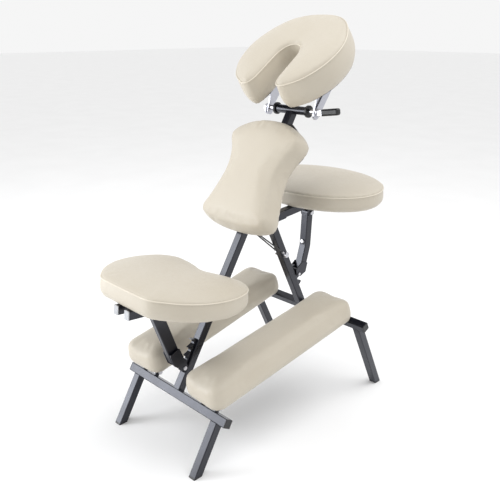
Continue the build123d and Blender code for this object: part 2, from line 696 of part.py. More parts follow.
def arm_fork():
    """Two cheeks on the strut's lower end that straddle the rear strut and hold the rack pin."""
    uy, uz = ARM_BEND_Y - ARM_LOW_Y, ARM_BEND_Z - ARM_LOW_Z
    n = math.hypot(uy, uz)
    uy, uz = uy / n, uz / n
    h = ARM_STRUT / 2
    x0 = h
    points = [(ARM_LOW_Y + h * uz + uy * 26, ARM_LOW_Z - h * uy + uz * 26),
              (ARM_LOW_Y + h * uz - uy * 6, ARM_LOW_Z - h * uy - uz * 6),
              (ARM_PIN_Y + 8, ARM_PIN_Z - 10), (ARM_PIN_Y - 10, ARM_PIN_Z - 4),
              (ARM_PIN_Y - 14, ARM_PIN_Z + 18),
              (ARM_LOW_Y - h * uz + uy * 26, ARM_LOW_Z + h * uy + uz * 26)]
    out = []
    for s in (-1, 1):
        cheek = plate_x(points, s * x0, s * (x0 + 3.5), 3.0)
        cheek -= rod_x(ARM_PIN_R, -40, 40, ARM_PIN_Y, ARM_PIN_Z)
        out.append(cheek)
    return out


def arm_rack_pin():
    x = ARM_STRUT / 2 + 3.5
    return rod_x(ARM_PIN_R, -x - 3, x + 3, ARM_PIN_Y, ARM_PIN_Z)


def arm_strut_knob():
    """Round-headed bolt in the strut's front face at the bend."""
    lean = math.degrees(math.atan2(ARM_STRUT_TOP_Y - ARM_BEND_Y, ARM_STRUT_TOP_Z - ARM_BEND_Z))
    face = lean_frame(ARM_BEND_Y, ARM_BEND_Z, lean) * Pos(0, -ARM_STRUT / 2, KNOB_UP) * Rot(90, 0, 0)
    head = Cylinder(8.0, 5.0, align=(Align.CENTER, Align.CENTER, Align.MIN))
    return face * fillet(head.faces().sort_by(Axis.Z)[-1].edges(), 3.0)


# ---- bodies: kneel_left, kneel_right ----
def kneel_place(side):
    """Frame of one kneeling pad on its underside: Y runs along the pad from its front end, Z out of its top."""
    base = Location((side * KNEEL_FRONT_X, KNEEL_START_Y, KNEEL_START_Z), (KNEEL_SLOPE, 0, 0))
    return base * Location((0, 0, 0), (0, 0, -side * KNEEL_TOE))


def kneel_shapes(side):
    place = kneel_place(side) * Pos(0, KNEEL_L / 2, 0)
    board = extrude(RectangleRounded(KNEEL_W - 28, KNEEL_L - 28, 26), KNEEL_BOARD)
    face = Face(RectangleRounded(KNEEL_W, KNEEL_L, 38).wire())
    cushion = upholstered(face, board, KNEEL_BOARD + KNEEL_FOAM, 16, 7)
    return place * board, place * cushion


def kneel_hinge(side):
    """Two ears under the pad's board for its hinge pin."""
    up = KNEEL_START_Z - KNEEL_PIN_Z + 40
    under = kneel_place(side) * Pos(0, 0, -200) * Box(1200, 1600, 400)
    out = []
    for s in (-1, 1):
        ear = rod_x(KNEEL_EAR_R, s * 31, s * 35, KNEEL_PIN_Y, KNEEL_PIN_Z)
        ear += plate_x([(KNEEL_PIN_Y - KNEEL_EAR_R, KNEEL_PIN_Z), (KNEEL_PIN_Y + KNEEL_EAR_R, KNEEL_PIN_Z),
                        (KNEEL_PIN_Y + 20, KNEEL_PIN_Z + up), (KNEEL_PIN_Y - 20, KNEEL_PIN_Z + up)], s * 31, s * 35)
        ear -= rod_x(4.0 + FIT, -60, 60, KNEEL_PIN_Y, KNEEL_PIN_Z)
        out.append(Pos(side * KNEEL_FRONT_X, 0, 0) * ear & under)
    return out


def kneel_lugs():
    """Lugs welded on top of the front bar, two for each pad."""
    out = []
    for side in (-1, 1):
        for s in (-1, 1):
            x = side * KNEEL_FRONT_X + s * 27.5
            lug = rod_x(8.0, x - 2, x + 2, 0, KNEEL_PIN_U)
            lug += Pos(x, 0, (HALF + KNEEL_PIN_U) / 2) * Box(4, 16, KNEEL_PIN_U - HALF)
            out.append(MAST * (lug - rod_x(4.0, -400, 400, 0, KNEEL_PIN_U)))
    return out


def kneel_pins():
    """Hinge bolts locked in the lugs, one for each pad."""
    x = KNEEL_FRONT_X
    one = bolt_x(4.0, x + 35.5, x - 35.5, KNEEL_PIN_Y, KNEEL_PIN_Z, 13)
    return both_sides(one)


def kneel_rest_blocks():
    """Rubber blocks on the rear bar that carry the pads' rear ends."""
    low = [point_on(STRUT, v, HALF) for v in (-11, 5)]
    slope = math.tan(rad(KNEEL_SLOPE))
    top = [(y, KNEEL_START_Z + (y - KNEEL_START_Y) * slope - 0.4) for y, _ in reversed(low)]
    return both_sides(plate_x(low + top, KNEEL_REAR_X - 35, KNEEL_REAR_X + 35))


# ---- body: head_rest ----
def head_arm(t, x_in):
    """Flat side arm: one end hangs below the bolt, the other bends in to a foot under the base board."""
    r = HEAD_ARM_W / 2
    length = math.hypot(t, BASE_Z)
    ty, tz = t / length, BASE_Z / length
    plate = link_x(-ty * 10, -tz * 10, t + ty * 20, BASE_Z + tz * 20, r, x_in, x_in + HEAD_ARM_T)
    plate &= Pos(0, 0, BASE_Z - 500) * Box(1000, 1600, 1000)
    plate -= rod_x(HEAD_BOLT_R, -200, 200)
    foot_plate = Pos(x_in + HEAD_ARM_T - 15, t, BASE_Z - HEAD_ARM_T / 2) * Box(30, HEAD_ARM_W, HEAD_ARM_T)
    return both_sides(HEAD * (plate + foot_plate))


def head_base_and_cushion():
    place = HEAD * Pos(FACE_X, FACE_MID, BASE_Z)
    board = extrude(smooth_face(half_outline(BASE_OUTLINE)), FACE_BOARD)
    face = smooth_face(half_outline(FACE_OUTLINE))
    cushion = upholstered(face, board, FACE_BOARD + FACE_SIDE + FACE_CROWN, 18, 9)
    return place * board, place * cushion


def head_bolt():
    """Through bolt: hexagon head on the left, a round end with a cross pin for the cam on the right."""
    outer = LONG_ARM_X + HEAD_ARM_T
    shank = rod_x(HEAD_BOLT_R, -outer - 2.5, CAM_X + HEAD_BOLT_R)
    keep = rod_x(20, -outer - 10, CAM_X)
    keep += Pos(CAM_X, 0, 0) * Rot(90, 0, 0) * Cylinder(HEAD_BOLT_R, 40)
    shank &= keep
    head = hex_x(19, -outer - 2.5, -outer - 12)
    cross_pin = Pos(CAM_X, 0, 0) * Rot(90, 0, 0) * Cylinder(CAM_PIN_R, 19.6)
    return Pos(0, HEAD_Y, HEAD_Z) * (shank + head + cross_pin)


def head_washers():
    outer = LONG_ARM_X + HEAD_ARM_T
    one = ring_x(13, HEAD_BOLT_R, outer, outer + 2.5)
    return [Pos(0, HEAD_Y, HEAD_Z) * s for s in both_sides(one)]


def head_spacers():
    """Bright sleeves on the bolt between the collars and the side arms."""
    one = ring_x(SPACER_R, HEAD_BOLT_R, HEAD_TUBE + 6.3, SHORT_ARM_X)
    return [Pos(0, HEAD_Y, HEAD_Z) * s for s in both_sides(one)]


# ---- body: cam_lever ----
LEVER_FRAME = Location((CAM_X, HEAD_Y, HEAD_Z), (0, -LEVER_TILT, 0))


def cam_fork():
    """Bright cam: two round cheeks on the cross pin, joined beyond the bolt's end."""
    root_in, root_out = 6.4, 10.4
    shape = Pos((root_in + root_out) / 2, 0, 0) * Box(root_out - root_in, 19.6, 2 * CAM_R)
    for s in (-1, 1):
        shape += Pos(0, s * 8.1, 0) * Rot(90, 0, 0) * Cylinder(CAM_R, 3.4)
        shape += Pos(root_out / 2, s * 8.1, 0) * Box(root_out, 3.4, 2 * CAM_R)
    shape -= Rot(90, 0, 0) * Cylinder(CAM_PIN_R + FIT, 60)
    return LEVER_FRAME * shape


def cam_grip():
    """Plastic grip moulded on the cam's root."""
    grip = Pos(10.4, 0, 0) * Rot(0, 90, 0) * extrude(RectangleRounded(20, 19, 6), GRIP_END - 10.4)
    grip = fillet(grip.faces().sort_by(Axis.X)[-1].edges(), 7)
    return LEVER_FRAME * grip


def write(name, shape):
    solids = shape if isinstance(shape, list) else [shape]
    flat = []
    for s in solids:
        flat += list(s.solids())
    whole = flat[0] if len(flat) == 1 else Compound(children=flat)
    whole.label = name
    export_step(whole, f"parts/{name}.step")
    return whole


def frames():
    crossbar, leg, leg_foot = front_frame()
    write("front_cross_bar", crossbar)
    write("front_legs", both_sides(leg))
    write("front_feet", both_sides(leg_foot))
    write("front_bar_caps", both_sides(end_cap(MAST, FRONT_BAR / 2)))
    crossbar, leg, leg_foot = rear_frame()
    write("rear_cross_bar", crossbar)
    write("rear_legs", both_sides(leg))
    write("rear_feet", both_sides(leg_foot))
    write("rear_bar_caps", both_sides(end_cap(STRUT, REAR_BAR / 2)))


def mast_parts():
    write("mast_tube", mast())
    write("seat_rack", seat_rack())
    write("strut_bracket", strut_bracket())
    write("strut_pivot_bolt", strut_pivot_bolt())
    write("seat_pivot_bolt", seat_pivot_bolt())
    write("cable_eye", cable_eye())
    write("head_cross_tube", head_tube())
    write("head_collars", head_collars())
    board, cushion = chest_rest()
    write("chest_board", board)
    write("chest_cushion", cushion)
    write("kneel_lugs", kneel_lugs())
    write("kneel_hinge_bolts", kneel_pins())


def strut_parts():
    write("rear_strut", rear_strut())
    write("arm_rack", arm_rack())
    write("arm_pivot_bolt", arm_pivot_bolt())
    write("cable_bolt", cable_bolt())
    write("cable_lugs", cable_lugs())
    write("limit_cable", limit_cable())
    write("kneel_rest_blocks", kneel_rest_blocks())


def seat_parts():
    write("seat_rails", [seat_rail(1), seat_rail(-1)])
    write("seat_rail_plugs", [rail_plug(x, t, d) for x in (-RAIL_X, RAIL_X) for t, d in ((0, 1), (RAIL_L, -1))])
    board, cushion = seat_board_and_cushion()
    write("seat_board", board)
    write("seat_cushion", cushion)
    write("seat_strut_bolt", seat_strut_pin())
    write("seat_strut", seat_strut())
    write("seat_strut_fork", seat_fork())
    write("seat_rack_pin", seat_rack_pin())


def arm_parts():
    write("arm_tube", arm_tube())
    write("arm_hinge_ears", arm_hinge_ears())
    board, cushion = arm_board_and_cushion()
    write("arm_board", board)
    write("arm_cushion", cushion)
    write("arm_strut_ears", arm_strut_ears())
    write("arm_strut_bolt", arm_strut_pin())
    write("arm_strut", arm_strut())
    write("arm_strut_fork", arm_fork())
    write("arm_rack_pin", arm_rack_pin())
    write("arm_strut_knob", arm_strut_knob())


def kneel_parts():
    for side, name in ((1, "right"), (-1, "left")):
        board, cushion = kneel_shapes(side)
        write(f"kneel_board_{name}", board)
        write(f"kneel_cushion_{name}", cushion)
        write(f"kneel_ears_{name}", kneel_hinge(side))


def head_parts():
    write("head_short_arms", head_arm(SHORT_ARM_T, SHORT_ARM_X))
    write("head_long_arms", head_arm(LONG_ARM_T, LONG_ARM_X))
    board, cushion = head_base_and_cushion()
    write("head_base_board", board)
    write("head_cushion", cushion)
    write("head_bolt", head_bolt())
    write("head_washers", head_washers())
    write("head_spacers", head_spacers())
    write("cam_fork", cam_fork())
    write("cam_grip", cam_grip())


def main():
    os.makedirs("parts", exist_ok=True)
    frames()
    mast_parts()
    strut_parts()
    seat_parts()
    arm_parts()
    kneel_parts()
    head_parts()
    for name, y, z in (("frame_fold", PIVOT_Y, PIVOT_Z), ("seat_tilt", SEAT_PIVOT_Y, SEAT_PIVOT_Z),
                       ("seat_strut", SEAT_STRUT_Y, SEAT_STRUT_Z), ("arm_rest", ARM_PIVOT_Y, ARM_PIVOT_Z),
                       ("arm_strut", ARM_STRUT_TOP_Y, ARM_STRUT_TOP_Z), ("kneel", KNEEL_PIN_Y, KNEEL_PIN_Z),
                       ("head", HEAD_Y, HEAD_Z)):
        print("axis", name, round(y, 3), round(z, 3))


main()
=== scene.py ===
"""Looks of the kneeling massage chair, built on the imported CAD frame. Metres; +Y is the way the seated person faces."""
import json
import math

import bmesh
import bpy
import numpy as np
from mathutils import Matrix, Vector


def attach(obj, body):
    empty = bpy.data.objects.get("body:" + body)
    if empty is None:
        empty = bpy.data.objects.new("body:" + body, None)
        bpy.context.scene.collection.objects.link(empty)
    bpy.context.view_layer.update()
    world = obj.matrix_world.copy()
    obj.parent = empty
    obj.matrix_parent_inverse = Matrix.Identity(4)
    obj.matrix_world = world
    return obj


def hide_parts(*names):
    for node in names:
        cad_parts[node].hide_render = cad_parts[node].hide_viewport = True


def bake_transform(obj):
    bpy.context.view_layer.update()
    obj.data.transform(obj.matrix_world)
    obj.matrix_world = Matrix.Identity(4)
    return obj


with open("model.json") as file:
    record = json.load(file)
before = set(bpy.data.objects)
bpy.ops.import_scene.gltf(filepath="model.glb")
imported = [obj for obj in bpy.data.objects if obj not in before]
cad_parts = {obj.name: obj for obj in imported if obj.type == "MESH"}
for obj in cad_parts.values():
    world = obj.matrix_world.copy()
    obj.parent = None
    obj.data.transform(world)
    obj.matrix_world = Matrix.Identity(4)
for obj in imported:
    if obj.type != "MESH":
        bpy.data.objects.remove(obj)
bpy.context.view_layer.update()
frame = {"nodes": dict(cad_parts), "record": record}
nodes = frame["nodes"]
MM = 0.001


# ---------------------------------------------------------------- materials
def new_material(name):
    mat = bpy.data.materials.new(name)
    mat.use_nodes = True
    tree = mat.node_tree
    return mat, tree, tree.nodes["Principled BSDF"]


def link(tree, a, b):
    tree.links.new(a, b)


def noise_node(tree, scale, detail=3.0, rough=0.5, coords=None):
    n = tree.nodes.new("ShaderNodeTexNoise")
    n.inputs["Scale"].default_value = scale
    n.inputs["Detail"].default_value = detail
    n.inputs["Roughness"].default_value = rough
    link(tree, coords or object_coords(tree), n.inputs["Vector"])
    return n


def object_coords(tree):
    for n in tree.nodes:
        if n.bl_idname == "ShaderNodeTexCoord":
            return n.outputs["Object"]
    return tree.nodes.new("ShaderNodeTexCoord").outputs["Object"]


def ramp(tree, source, stops):
    r = tree.nodes.new("ShaderNodeValToRGB")
    link(tree, source, r.inputs["Fac"])
    while len(r.color_ramp.elements) < len(stops):
        r.color_ramp.elements.new(0.5)
    for e, (pos, colour) in zip(r.color_ramp.elements, stops):
        e.position = pos
        e.color = (*colour, 1.0)
    return r.outputs["Color"]


def bump(tree, bsdf, height, distance, strength=1.0, under=None):
    b = tree.nodes.new("ShaderNodeBump")
    b.inputs["Distance"].default_value = distance
    b.inputs["Strength"].default_value = strength
    link(tree, height, b.inputs["Height"])
    if under is not None:
        link(tree, under, b.inputs["Normal"])
    link(tree, b.outputs["Normal"], bsdf.inputs["Normal"])
    return b.outputs["Normal"]


def scaled(colour, factor):
    return tuple(c * factor for c in colour)


def uneven_gloss(tree, bsdf, source, rough, less, more):
    """Roughness that wanders from rough - less to rough + more with the source."""
    gloss = ramp(tree, source, [(0.3, (rough - less,) * 3), (0.7, (rough + more,) * 3)])
    link(tree, gloss, bsdf.inputs["Roughness"])


def vinyl(name, light, dark, rough=0.42):
    """Soft upholstery vinyl: fine leather grain, slow unevenness in colour and gloss."""
    mat, tree, bsdf = new_material(name)
    slow = noise_node(tree, 7.0, 2.0)
    colour = ramp(tree, slow.outputs["Fac"], [(0.3, dark), (0.7, light)])
    link(tree, colour, bsdf.inputs["Base Color"])
    grain = tree.nodes.new("ShaderNodeTexVoronoi")
    grain.feature = "DISTANCE_TO_EDGE"
    grain.inputs["Scale"].default_value = 520.0
    link(tree, object_coords(tree), grain.inputs["Vector"])
    creased = ramp(tree, grain.outputs["Distance"], [(0.0, (0, 0, 0)), (0.22, (1, 1, 1))])
    soft = noise_node(tree, 90.0, 3.0)
    low = bump(tree, bsdf, soft.outputs["Fac"], 0.0008, 0.35)
    bump(tree, bsdf, creased, 0.00025, 0.5, under=low)
    uneven_gloss(tree, bsdf, soft.outputs["Fac"], rough, 0.06, 0.08)
    bsdf.inputs["Specular IOR Level"].default_value = 0.5
    bsdf.inputs["Sheen Weight"].default_value = 0.12
    bsdf.inputs["Sheen Roughness"].default_value = 0.5
    return mat


def powder_coat(name, colour, rough=0.3, coat=0.55):
    """Gloss powder coat: faint orange peel, slightly worn, uneven gloss."""
    mat, tree, bsdf = new_material(name)
    peel = noise_node(tree, 420.0, 2.0)
    patch = noise_node(tree, 16.0, 4.0, 0.6)
    tone = ramp(tree, patch.outputs["Fac"], [(0.3, scaled(colour, 0.8)), (0.75, scaled(colour, 1.35))])
    link(tree, tone, bsdf.inputs["Base Color"])
    uneven_gloss(tree, bsdf, patch.outputs["Fac"], rough, 0.05, 0.1)
    bump(tree, bsdf, peel.outputs["Fac"], 0.0002, 0.25)
    bsdf.inputs["Specular IOR Level"].default_value = 0.3
    bsdf.inputs["Specular Tint"].default_value = (0.80, 0.84, 1.0, 1.0)
    bsdf.inputs["Coat Weight"].default_value = coat
    bsdf.inputs["Coat Roughness"].default_value = 0.16
    bsdf.inputs["Coat Tint"].default_value = (0.85, 0.88, 1.0, 1.0)
    return mat


def bare_metal(name, colour, rough, along=(1.0, 1.0, 60.0)):
    """Bright metal with drawn or brushed lines."""
    mat, tree, bsdf = new_material(name)
    mapping = tree.nodes.new("ShaderNodeMapping")
    mapping.inputs["Scale"].default_value = along
    link(tree, object_coords(tree), mapping.inputs["Vector"])
    lines = noise_node(tree, 40.0, 4.0, 0.6, coords=mapping.outputs["Vector"])
    tone = ramp(tree, lines.outputs["Fac"], [(0.3, scaled(colour, 0.86)), (0.7, colour)])
    link(tree, tone, bsdf.inputs["Base Color"])
    uneven_gloss(tree, bsdf, lines.outputs["Fac"], rough, 0.06, 0.08)
    bump(tree, bsdf, lines.outputs["Fac"], 0.00006, 0.3)
    bsdf.inputs["Metallic"].default_value = 1.0
    return mat


def moulded(name, colour, rough=0.45, spark=900.0):
    """Moulded plastic or rubber with a fine spark-eroded texture."""
    mat, tree, bsdf = new_material(name)
    fine = noise_node(tree, spark, 2.0)
    patch = noise_node(tree, 30.0, 3.0)
    tone = ramp(tree, patch.outputs["Fac"], [(0.3, scaled(colour, 0.85)), (0.7, scaled(colour, 1.15))])
    link(tree, tone, bsdf.inputs["Base Color"])
    uneven_gloss(tree, bsdf, patch.outputs["Fac"], rough, 0.05, 0.08)
    bump(tree, bsdf, fine.outputs["Fac"], 0.00015, 0.35)
    return mat


def woven(name, colour):
    """Black non-woven cloth stapled under a board."""
    mat, tree, bsdf = new_material(name)
    weave = tree.nodes.new("ShaderNodeTexVoronoi")
    weave.inputs["Scale"].default_value = 700.0
    link(tree, object_coords(tree), weave.inputs["Vector"])
    tone = ramp(tree, weave.outputs["Distance"], [(0.1, scaled(colour, 1.5)), (0.7, scaled(colour, 0.7))])
    link(tree, tone, bsdf.inputs["Base Color"])
    bump(tree, bsdf, weave.outputs["Distance"], 0.0003, 0.4)
    bsdf.inputs["Roughness"].default_value = 0.85
    bsdf.inputs["Sheen Weight"].default_value = 0.2
    return mat


def braided(name, colour):
    """Black sleeved wire rope: the strands show through as a fine slanting lay."""
    mat, tree, bsdf = new_material(name)
    wave = tree.nodes.new("ShaderNodeTexWave")
    wave.inputs["Scale"].default_value = 260.0
    wave.inputs["Distortion"].default_value = 0.5
    link(tree, object_coords(tree), wave.inputs["Vector"])
    tone = ramp(tree, wave.outputs["Fac"], [(0.2, scaled(colour, 0.6)), (0.8, scaled(colour, 1.6))])
    link(tree, tone, bsdf.inputs["Base Color"])
    bump(tree, bsdf, wave.outputs["Fac"], 0.0003, 0.4)
    bsdf.inputs["Roughness"].default_value = 0.35
    return mat


CREAM = (0.53, 0.483, 0.40)
CREAM_DARK = (0.505, 0.455, 0.37)
MATERIALS = {
    "black_steel": powder_coat("black_powder_coat", (0.006, 0.006, 0.008)),
    "bright_steel": bare_metal("bright_zinc", (0.60, 0.60, 0.63), 0.24, along=(1, 1, 1)),
    "aluminium": bare_metal("brushed_aluminium", (0.60, 0.61, 0.67), 0.34, along=(1, 12, 12)),
    "black_plastic": moulded("black_plastic", (0.012, 0.012, 0.014), 0.38),
    "grey_plastic": moulded("grey_plastic", (0.42, 0.43, 0.45), 0.4),
    "black_rubber": moulded("black_rubber", (0.012, 0.012, 0.012), 0.7, 500.0),
    "black_board": woven("black_board_cloth", (0.016, 0.016, 0.017)),
    "cream_vinyl": vinyl("cream_vinyl", CREAM, CREAM_DARK),
    "cable_black": braided("cable_sleeve", (0.02, 0.02, 0.022)),
}
# The piping takes the lit cream of the pads' tops, lighter than the cover: a painted highlight along the seam.
SEAM_PIPING_PAINTED_HIGHLIGHT = vinyl("piping_painted_highlight", (0.68, 0.63, 0.53), (0.65, 0.59, 0.49), 0.34)

for part in frame["record"]["subparts"]:
    obj = nodes[part["node"]]
    obj.data.materials.clear()
    obj.data.materials.append(MATERIALS[part["material_slot"]])


# ---------------------------------------------------------------- the chair's own lines
FOOT_Y, LEG_LEAN, LEG_LENGTH = -377.8, 30.8, 167.9
MAST_LEAN = math.radians(31.9)
BAR = Vector((0, FOOT_Y + LEG_LENGTH * math.sin(math.radians(LEG_LEAN)), LEG_LENGTH * math.cos(math.radians(LEG_LEAN))))
MAST_U = Vector((0, math.sin(MAST_LEAN), math.cos(MAST_LEAN)))
MAST_V = Vector((0, math.cos(MAST_LEAN), -math.sin(MAST_LEAN)))
X = Vector((1, 0, 0))
HALF_TUBE = 12.7
SEAT_BACK, SEAT_TILT = Vector((0, -458.8, 458.0)), 5.7  # rear ends of the rails
CHEST_CENTRE = Vector((0, 52.2, 833.7))
ARM_PIVOT, ARM_TILT, ARM_PAD_Y = Vector((0, 89.864, 594.734)), 5.3, 320.2
KNEEL_X, KNEEL_START_Y, KNEEL_START_Z, KNEEL_SLOPE = 136, -321.8, 181, 10.1
KNEEL_LENGTH, KNEEL_SPREAD = 585, 22  # the far ends stand further apart by the spread
HEAD_PIVOT, HEAD_TILT = Vector((0, 190.108, 918.482)), 35.5
REAR_FOOT_Y, REAR_LEAN, REAR_LEG_LENGTH = 383.8, math.radians(26.3), 288.6


def place(origin, y_dir, z_dir):
    """Matrix of a pad's own frame, in metres, from an origin in millimetres."""
    m = Matrix.Identity(4)
    for i, axis in enumerate((y_dir.cross(z_dir), y_dir, z_dir)):
        m.col[i][:3] = axis[:]
    m.col[3][:3] = (origin * MM)[:]
    return m


def tilted(origin, degrees, toe=0.0):
    """Frame turned up about +X by degrees, then about its own Z by toe."""
    turn = Matrix.Rotation(math.radians(degrees), 4, "X") @ Matrix.Rotation(math.radians(toe), 4, "Z")
    return Matrix.Translation(origin * MM) @ turn


# ---------------------------------------------------------------- outlines
def closed_curve(points, count):
    """Smooth closed line through the points (centripetal Catmull-Rom), count points evenly spaced."""
    p = np.array(points, float)
    n = len(p)
    fine = []
    for i in range(n):
        a, b, c, d = p[i - 1], p[i], p[(i + 1) % n], p[(i + 2) % n]
        t = [0.0]
        for u, v in ((a, b), (b, c), (c, d)):
            t.append(t[-1] + max(np.linalg.norm(v - u), 1e-6) ** 0.5)
        for s in np.linspace(t[1], t[2], 24, endpoint=False):
            a1 = (t[1] - s) / (t[1] - t[0]) * a + (s - t[0]) / (t[1] - t[0]) * b
            a2 = (t[2] - s) / (t[2] - t[1]) * b + (s - t[1]) / (t[2] - t[1]) * c
            a3 = (t[3] - s) / (t[3] - t[2]) * c + (s - t[2]) / (t[3] - t[2]) * d
            b1 = (t[2] - s) / (t[2] - t[0]) * a1 + (s - t[0]) / (t[2] - t[0]) * a2
            b2 = (t[3] - s) / (t[3] - t[1]) * a2 + (s - t[1]) / (t[3] - t[1]) * a3
            fine.append((t[2] - s) / (t[2] - t[1]) * b1 + (s - t[1]) / (t[2] - t[1]) * b2)
    return evenly(np.array(fine), count)


def evenly(line, count):
    closed = np.vstack([line, line[:1]])
    run = np.concatenate([[0], np.cumsum(np.linalg.norm(np.diff(closed, axis=0), axis=1))])
    want = np.linspace(0, run[-1], count, endpoint=False)
    return np.stack([np.interp(want, run, closed[:, 0]), np.interp(want, run, closed[:, 1])], 1)


def both_halves(points):
    return list(points) + [(-x, y) for x, y in reversed(points) if x > 0.01]


def rounded_rectangle(w, l, r, count=240):
    pts = []
    corners = ((w / 2 - r, l / 2 - r, 0), (-w / 2 + r, l / 2 - r, 90),
               (-w / 2 + r, -l / 2 + r, 180), (w / 2 - r, -l / 2 + r, 270))
    for cx, cy, a0 in corners:
        for k in range(13):
            a = math.radians(a0 + 90 * k / 12)
            pts.append((cx + r * math.cos(a), cy + r * math.sin(a)))
    return evenly(np.array(pts), count)


def ellipse(a, b, count=240):
    t = np.linspace(0, 2 * math.pi, 720, endpoint=False)
    return evenly(np.stack([a * np.cos(t), b * np.sin(t)], 1), count)


def normals(line):
    """Outward unit normals of a closed anticlockwise line."""
    d = np.roll(line, -1, 0) - np.roll(line, 1, 0)
    d /= np.linalg.norm(d, axis=1)[:, None]
    n = np.stack([d[:, 1], -d[:, 0]], 1)
    area = np.sum(line[:, 0] * np.roll(line[:, 1], -1) - np.roll(line[:, 0], -1) * line[:, 1])
    return n if area > 0 else -n


def distance_inside(points, line):
    """Distance of each point from a closed line."""
    a, b = line, np.roll(line, -1, 0)
    ab = b - a
    out = np.full(len(points), 1e9)
    for k in range(0, len(points), 4000):
        p = points[k:k + 4000]
        t = np.clip(((p[:, None] - a) * ab).sum(2) / (ab * ab).sum(1), 0, 1)
        near = a + t[..., None] * ab
        out[k:k + 4000] = np.linalg.norm(p[:, None] - near, axis=2).min(1)
    return out


# ---------------------------------------------------------------- cushions
def add_object(name, data):
    obj = bpy.data.objects.new(name, data)
    bpy.context.scene.collection.objects.link(obj)
    return obj


def mesh_object(name, bm):
    """Object of a finished bmesh, which is freed."""
    mesh = bpy.data.meshes.new(name)
    bm.to_mesh(mesh)
    bm.free()
    return add_object(name, mesh)


def ring_wall(bm, low, high):
    n = len(low)
    for i in range(n):
        bm.faces.new((low[i], low[(i + 1) % n], high[(i + 1) % n], high[i]))


def cushion_block(name, line, height, board, pocket):
    """Closed block over an outline, with a pocket in its underside for the board; all in metres."""
    bm = bmesh.new()
    rings = [[bm.verts.new((x, y, z)) for x, y in ring]
             for ring, z in ((board, pocket), (board, 0.0), (line, 0.0), (line, height))]
    bm.faces.new(list(reversed(rings[0])))
    bm.faces.new(rings[3])
    for low, high in zip(rings, rings[1:]):
        ring_wall(bm, low, high)
    bmesh.ops.triangulate(bm, faces=[f for f in bm.faces if len(f.verts) > 4])
    bmesh.ops.recalc_face_normals(bm, faces=bm.faces)
    return mesh_object(name, bm)


def only(obj):
    for o in bpy.context.selected_objects:
        o.select_set(False)
    obj.select_set(True)
    bpy.context.view_layer.objects.active = obj


def coords(obj):
    co = np.zeros(len(obj.data.vertices) * 3)
    obj.data.vertices.foreach_get("co", co)
    return co.reshape(-1, 3)


def set_coords(obj, co):
    obj.data.vertices.foreach_set("co", co.ravel())
    obj.data.update()


def apply(obj, kind, **settings):
    only(obj)
    mod = obj.modifiers.new(kind, kind)
    for k, v in settings.items():
        setattr(mod, k, v)
    bpy.ops.object.modifier_apply(modifier=mod.name)


def swell(obj, held, cap):
    """Inflates the skin with cloth pressure, with held vertices pinned, moving no point further than cap (metres)."""
    only(obj)
    before = coords(obj)
    group = obj.vertex_groups.new(name="held")
    group.add([int(i) for i in np.nonzero(held)[0]], 1.0, "REPLACE")
    mod = obj.modifiers.new("Cloth", "CLOTH")
    s = mod.settings
    s.quality = 5
    s.use_pressure = True
    s.uniform_pressure_force = 4.0
    s.effector_weights.gravity = 0.0
    s.vertex_group_mass = "held"
    s.tension_stiffness = 25
    s.compression_stiffness = 25
    s.bending_stiffness = 2.0
    mod.collision_settings.use_collision = False
    mod.collision_settings.use_self_collision = False
    mod.point_cache.frame_start = 1
    mod.point_cache.frame_end = CLOTH_FRAMES
    for f in range(1, CLOTH_FRAMES + 1):
        bpy.context.scene.frame_set(f)
    shaped = obj.evaluated_get(bpy.context.evaluated_depsgraph_get())
    after = coords(shaped)
    obj.modifiers.remove(mod)
    bpy.context.scene.frame_set(1)
    move = after - before
    size = np.linalg.norm(move, axis=1)[:, None]
    size[size < 1e-9] = 1e-9
    move *= cap * np.tanh(size / cap) / size
    set_coords(obj, before + move)
    obj.vertex_groups.clear()


def tube_ring(bm, centre, across, other, radius, sides):
    turn = [2 * math.pi * k / sides for k in range(sides)]
    return [bm.verts.new(centre + radius * (math.cos(a) * across + math.sin(a) * other)) for a in turn]


def tube_mesh(name, centre, radius, sides=10):
    """Closed tube of round section round a closed line of 3-D points (metres)."""
    n = len(centre)
    bm = bmesh.new()
    rings = []
    for i in range(n):
        t = (Vector(centre[(i + 1) % n]) - Vector(centre[i - 1])).normalized()
        across = t.cross(Vector((0, 0, 1)))
        across.normalize()
        rings.append(tube_ring(bm, Vector(centre[i]), across, across.cross(t), radius, sides))
    for i in range(n):
        ring_wall(bm, rings[i], rings[(i + 1) % n])
    bmesh.ops.recalc_face_normals(bm, faces=bm.faces)
    return mesh_object(name, bm)


def open_tube(name, path, radius, sides=12):
    """Round tube along an open line of points, carried along without twist and closed at both ends."""
    bm = bmesh.new()
    rings = []
    across = X.copy()
    for i, p in enumerate(path):
        t = (path[min(i + 1, len(path) - 1)] - path[max(i - 1, 0)]).normalized()
        across = (across - t * across.dot(t)).normalized()
        rings.append(tube_ring(bm, p, across, t.cross(across), radius, sides))
    for r, q in zip(rings, rings[1:]):
        ring_wall(bm, r, q)
    bm.faces.new(list(reversed(rings[0])))
    bm.faces.new(rings[-1])
    bmesh.ops.recalc_face_normals(bm, faces=bm.faces)
    return mesh_object(name, bm)


def smooth_shade(obj):
    obj.data.polygons.foreach_set("use_smooth", [True] * len(obj.data.polygons))


# How a pad is shaped, in millimetres apart from FULLEST, a share of the seam's height.
FULLEST = 0.45  # where the side stands furthest out
TOP_BAND, TOP_BLEND = 9, 8  # the crown starts this far under the seam, and is whole this far above its start
SIDE_DEPTH = 24.0  # how far in from the outline the side's shaping reaches
COVER_UNDER, BOARD_GAP, POCKET_GAP = 1.0, 1.6, 0.8  # block inside the outline, round the board and over it
PLATE_ROUND, PLATE_OVER = 5, 1.5  # room left beside and over a plate
SEAM_RADIUS = 1.8
CLOTH_FRAMES, CLOTH_CAP = 20, 0.004  # frames of cloth, and the furthest that it moves a point, in metres


